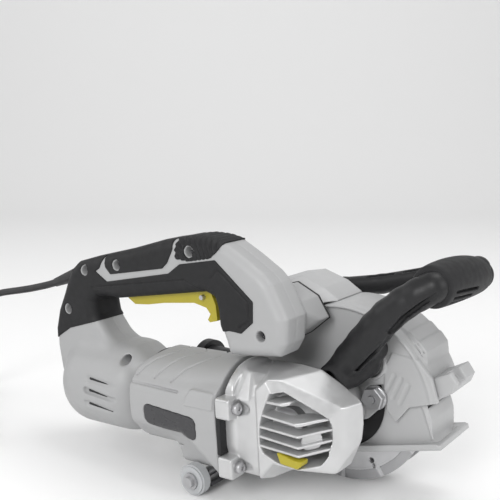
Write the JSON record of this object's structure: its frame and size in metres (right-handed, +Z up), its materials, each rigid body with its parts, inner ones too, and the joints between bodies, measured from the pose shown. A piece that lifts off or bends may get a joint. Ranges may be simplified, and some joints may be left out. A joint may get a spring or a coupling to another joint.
{
  "type": "wall chaser",
  "caption": "Handheld wall chaser: electric motor unit with a D-shaped rear handle and bow front handle, guarded disc pair, and a pivoting base with rear rollers.",
  "frame": {"origin": "centre of the tool's bounding box without its mains lead, on the floor it stands on", "axes": "+X is the direction the discs cut in, +Y runs from the motor side to the disc side, +Z is up"},
  "size_m": [0.607, 0.2421, 0.2124],
  "materials": {
    "grey_plastic": "fine texture, satin",
    "guard_silver": "silver grey paint, satin",
    "cast_aluminium": "die cast, blasted, satin",
    "rubber": "soft-touch overmould",
    "black_plastic": "moulded, semi-matte",
    "cord_black": "smooth flexible sheath",
    "yellow_plastic": "satin yellow",
    "label": "smooth printed label, plain",
    "roller_plastic": "turned, satin",
    "steel": "zinc plated",
    "dark_steel": "blackened",
    "disc_steel": "ground, with grey segments",
    "copper": "copper",
    "brass": "plain",
    "carbon": "pressed carbon"
  },
  "bodies": {
    "base_unit": {"lower_guard": "guard_silver", "base_plate": "guard_silver", "pivot_bolts": "steel", "depth_lock_bolt": "steel", "rear_axle": "steel", "axle_bracket": "dark_steel", "roller_screws": "steel"},
    "motor_unit": {"stator": "dark_steel", "brush_holders": "brass", "carbon_brushes": "carbon", "motor_bearings": "steel", "spindle_bearings": "steel", "motor_housing": "grey_plastic", "label_plate": "label", "rear_housing_near": "grey_plastic", "rear_housing_far": "grey_plastic", "grip_rubber_near": "rubber", "grip_rubber_far": "rubber", "thumb_pad": "rubber", "leg_pads": "rubber", "housing_screws": "steel", "trigger_pin": "steel", "switch_module": "black_plastic", "trigger_spring": "steel", "gear_head": "cast_aluminium", "gear_head_cover": "cast_aluminium", "flange_screws": "steel", "lock_button_spring": "steel", "upper_guard_near": "guard_silver", "upper_guard_far": "guard_silver", "guard_hood": "guard_silver", "dust_port": "black_plastic", "plunge_spring": "steel", "front_grip": "black_plastic", "front_arm_near": "black_plastic", "front_arm_far": "black_plastic", "front_handle_bolts": "dark_steel", "cord_sleeve": "cord_black", "mains_cord": "cord_black", "cord_coil": "cord_black", "cord_tail": "cord_black", "mains_plug": "cord_black", "plug_pins": "brass"},
    "spindle_set": {"spindle": "steel", "drive_gear": "dark_steel", "inner_flange": "steel", "disc_near": "disc_steel", "spacer_sleeve": "steel", "disc_far": "disc_steel", "clamp_nut": "dark_steel"},
    "armature": {"armature_shaft": "steel", "armature_core": "copper", "commutator": "copper", "cooling_fan": "black_plastic", "pinion": "dark_steel"},
    "trigger": {"trigger": "yellow_plastic"},
    "spindle_lock": {"spindle_lock_button": "yellow_plastic"},
    "lock_nut": {"depth_lock_nut": "steel"},
    "roller_near": {"roller_near": "roller_plastic"},
    "roller_far": {"roller_far": "roller_plastic"}
  },
  "joints": [
    {"name": "plunge_pivot", "type": "hinge", "parent": "motor_unit", "child": "base_unit", "pos_m": [0.0028, 0.0345, 0.055], "axis": [0, 1, 0], "range_deg": [-1.5, 19]},
    {"name": "spindle_spin", "type": "hinge", "parent": "motor_unit", "child": "spindle_set", "pos_m": [0.0908, 0.02125, 0.075], "axis": [0, 1, 0], "continuous": true},
    {"name": "armature_spin", "type": "hinge", "parent": "motor_unit", "child": "armature", "pos_m": [-0.00901, -0.04475, 0.0689], "axis": [0.9981, 0, 0.061], "continuous": true},
    {"name": "trigger_pull", "type": "hinge", "parent": "motor_unit", "child": "trigger", "pos_m": [-0.00053, -0.04475, 0.15958], "axis": [0, 1, 0], "range_deg": [0, 4], "stiffness_Nm_per_rad": 1, "springref_deg": -5.73, "deforming": ["trigger_spring"]},
    {"name": "spindle_lock_press", "type": "slide", "parent": "motor_unit", "child": "spindle_lock", "axis": [0, 1, 0], "range_m": [0, 0.004], "stiffness_N_per_m": 600, "springref_m": -0.004, "deforming": ["lock_button_spring"]},
    {"name": "depth_lock_turn", "type": "hinge", "parent": "base_unit", "child": "lock_nut", "pos_m": [0.12879, 0.00325, 0.08409], "axis": [0, 1, 0], "range_deg": [0, 180]},
    {"name": "roller_near_spin", "type": "hinge", "parent": "base_unit", "child": "roller_near", "pos_m": [0.0104, -0.07975, 0.013], "axis": [0, 1, 0], "continuous": true},
    {"name": "roller_far_spin", "type": "hinge", "parent": "base_unit", "child": "roller_far", "pos_m": [0.0104, 0.08025, 0.013], "axis": [0, 1, 0], "continuous": true}
  ],
  "couplings": [
    {"joint": "armature_spin", "follows": "spindle_spin", "ratio": 3.3636}
  ]
}
